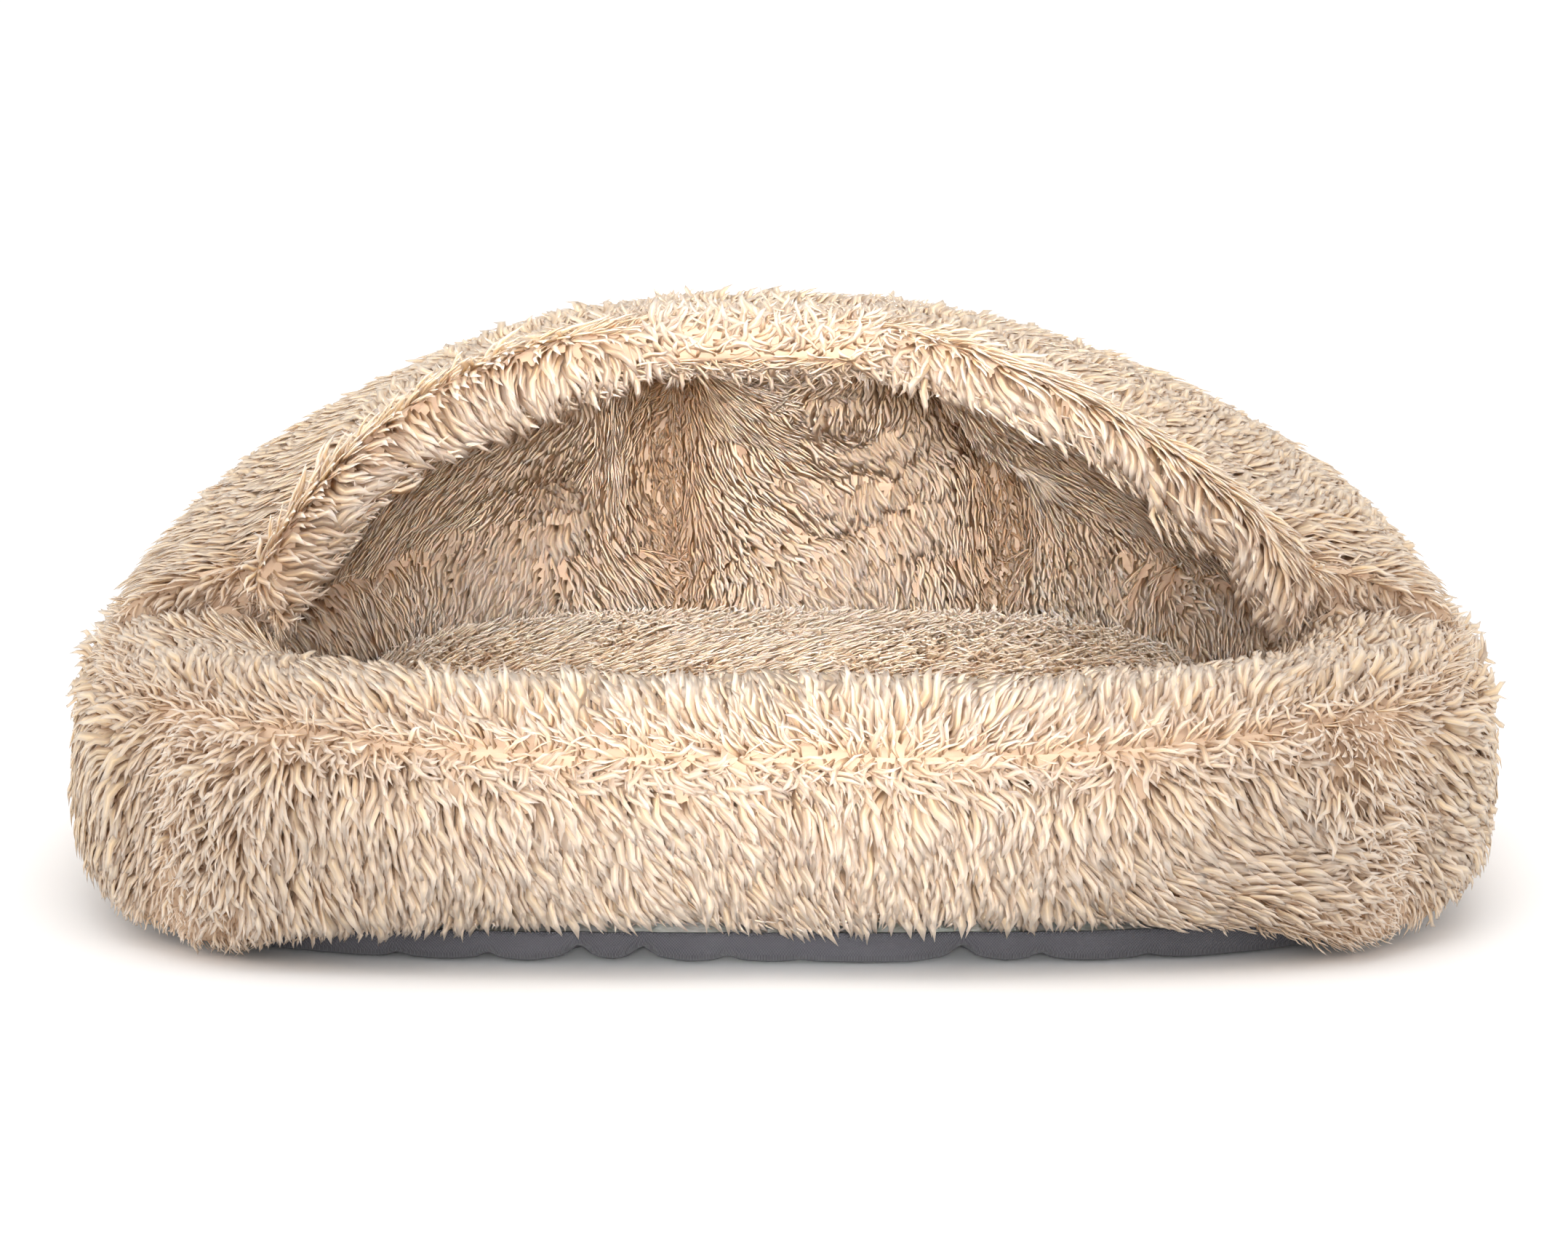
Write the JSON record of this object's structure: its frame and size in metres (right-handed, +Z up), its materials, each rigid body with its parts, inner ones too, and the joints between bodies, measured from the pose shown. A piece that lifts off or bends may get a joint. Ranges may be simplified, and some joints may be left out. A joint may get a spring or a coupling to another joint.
{
  "type": "hooded pet bed",
  "caption": "Long-pile hooded pet bed: a stuffed bolster round a rounded-square base, a padded and lined half-dome hood with a furry rim roll, and a loose cushion inside.",
  "frame": {"origin": "on the floor under the middle of the bed's bounding box", "axes": "+Z up, +X along the bed's width to the viewer's right, the open front faces -Y"},
  "size_m": [0.5878, 0.4518, 0.2379],
  "materials": {
    "fur": "long-pile faux fur, cream tips over tan roots",
    "base_cloth": "dark grey woven canvas",
    "inner_cloth": "plain woven lining cloth",
    "filling": "loose polyester fibre"
  },
  "bodies": {
    "bed": {"sole_cloth": "base_cloth", "base_wadding": "filling", "floor_cloth": "inner_cloth", "front_bolster_filling": "filling", "left_bolster_filling": "filling", "right_bolster_filling": "filling", "back_bolster_filling": "filling", "hood_right_padding": "filling", "hood_middle_padding": "filling", "hood_left_padding": "filling", "hood_rim_core": "filling", "front_wall_fur": "fur", "left_wall_fur": "fur", "right_wall_fur": "fur", "back_wall_fur": "fur", "front_top_fur": "fur", "hood_right_fur": "fur", "hood_middle_fur": "fur", "hood_left_fur": "fur", "hood_rim_fur": "fur", "lining_right_fur": "fur", "lining_middle_fur": "fur", "lining_left_fur": "fur"},
    "seat_cushion": {"cushion_fur": "fur", "cushion_underside": "inner_cloth", "cushion_filling": "filling"}
  },
  "joints": [
    {"name": "cushion_lift", "type": "slide", "parent": "bed", "child": "seat_cushion", "axis": [0, 0, 1], "range_m": [0, 0.045]}
  ]
}
